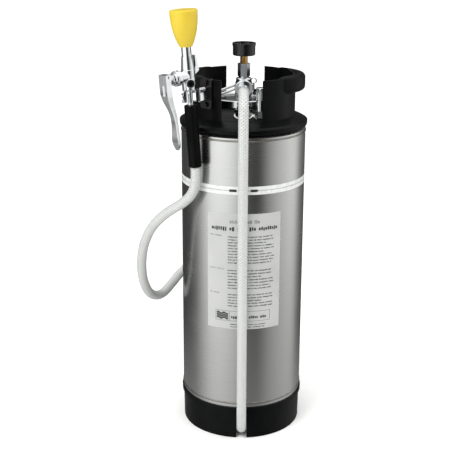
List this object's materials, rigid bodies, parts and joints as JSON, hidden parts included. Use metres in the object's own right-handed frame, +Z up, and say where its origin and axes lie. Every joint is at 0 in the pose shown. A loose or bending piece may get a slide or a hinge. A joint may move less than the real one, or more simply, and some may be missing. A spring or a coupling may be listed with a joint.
{
  "type": "portable pressurised eye and face wash",
  "caption": "Stainless pressure tank in a rubber boot with a rubber handle collar, a pressure gauge on a tee, and a squeeze-lever spray valve with a dust cap on a braided hose.",
  "frame": {"origin": "on the tank's axis, at the level of the floor under the rubber boot", "axes": "+Z up along the tank, -Y towards the front, where the hose leaves the tee and runs down, -X towards the sprayer's side"},
  "size_m": [0.3006, 0.2738, 0.7588],
  "materials": {
    "stainless": "satin stainless sheet",
    "black_rubber": "moulded rubber, slight sheen",
    "soft_rubber": "soft seal rubber",
    "chrome": "polished chrome plate",
    "zinc_steel": "grey plated steel",
    "brass": "turned brass",
    "gauge_black": "black enamelled case",
    "dial_white": "printed dial",
    "needle_black": "black paint",
    "clear_glass": "clear lens",
    "braided_hose": "white hose with woven reinforcement",
    "label_paper": "off-white printed film",
    "band_film": "white printed film",
    "yellow_plastic": "moulded yellow plastic",
    "spring_steel": "bright wire"
  },
  "bodies": {
    "tank": {"air_fill_body": "stainless", "air_fill_core": "brass", "bonnet": "chrome", "bottom_head": "stainless", "dip_tube": "stainless", "gauge_bezel": "gauge_black", "gauge_case": "gauge_black", "gauge_coupling": "zinc_steel", "gauge_dial": "dial_white", "gauge_lens": "clear_glass", "gauge_stem": "brass", "grip_sleeve": "black_rubber", "hang_hook": "chrome", "holder_back_plate": "gauge_black", "holder_bolts": "gauge_black", "holder_nuts": "gauge_black", "holder_plate": "gauge_black", "hose": "braided_hose", "hose_ferrule": "chrome", "hose_nut": "chrome", "instruction_label": "label_paper", "lever_pin": "chrome", "lid_neck": "stainless", "outlet_bung": "stainless", "outlet_nipple": "stainless", "rubber_boot": "black_rubber", "rubber_collar": "black_rubber", "side_plug": "black_rubber", "spout": "chrome", "spray_diffuser": "chrome", "sprayer_body": "chrome", "sprayer_holder": "chrome", "stem_spring": "spring_steel", "tank_shell": "stainless", "tee_fitting": "chrome", "top_head": "stainless", "water_line_band": "band_film"},
    "lid": {"lid": "stainless", "lid_gasket": "soft_rubber", "bail_pins": "stainless", "relief_body": "chrome", "relief_spring": "spring_steel"},
    "bail": {"lid_bail": "stainless", "bail_feet": "soft_rubber"},
    "relief_pull": {"relief_stem": "chrome", "relief_ring": "chrome"},
    "needle": {"gauge_needle": "needle_black"},
    "fill_cap": {"air_fill_cap": "chrome"},
    "lever": {"lever": "chrome"},
    "stem": {"valve_stem": "chrome", "seat_washer": "soft_rubber"},
    "dust_cap": {"dust_cap": "yellow_plastic", "cap_ring": "soft_rubber"}
  },
  "joints": [
    {"name": "lever_squeeze", "type": "hinge", "parent": "tank", "child": "lever", "pos_m": [-0.13035, -0.12387, 0.65439], "axis": [0.6944, -0.7176, 0.0523], "range_deg": [0, 10], "stiffness_Nm_per_rad": 4, "springref_deg": -5.73},
    {"name": "stem_slide", "type": "slide", "parent": "tank", "child": "stem", "axis": [0.7161, 0.6964, 0.0471], "range_m": [0, 0.0011], "deforming": ["stem_spring"]},
    {"name": "dust_cap_pull", "type": "slide", "parent": "tank", "child": "dust_cap", "axis": [-0.0702, 0.0047, 0.9975], "range_m": [0, 0.06]},
    {"name": "bail_swing", "type": "hinge", "parent": "lid", "child": "bail", "pos_m": [-0.008, 0, 0.62], "axis": [0, 1, 0], "range_deg": [0, 110]},
    {"name": "lid_drop", "type": "slide", "parent": "tank", "child": "lid", "axis": [0, 0, -1], "range_m": [0, 0.0125]},
    {"name": "relief_lift", "type": "slide", "parent": "lid", "child": "relief_pull", "axis": [0, 0, 1], "range_m": [0, 0.003], "stiffness_N_per_m": 1500, "springref_m": -0.002, "deforming": ["relief_spring"]},
    {"name": "needle_sweep", "type": "hinge", "parent": "tank", "child": "needle", "pos_m": [-0.00304, -0.05992, 0.69], "axis": [0, 0, -1], "range_deg": [0, 270], "stiffness_Nm_per_rad": 0.0005},
    {"name": "fill_cap_pull", "type": "slide", "parent": "tank", "child": "fill_cap", "axis": [0, 0, 1], "range_m": [0, 0.025]}
  ],
  "couplings": [
    {"joint": "stem_slide", "follows": "lever_squeeze", "m_per_rad": 0.0056},
    {"joint": "lid_drop", "follows": "bail_swing", "m_per_rad": 0.0065}
  ]
}
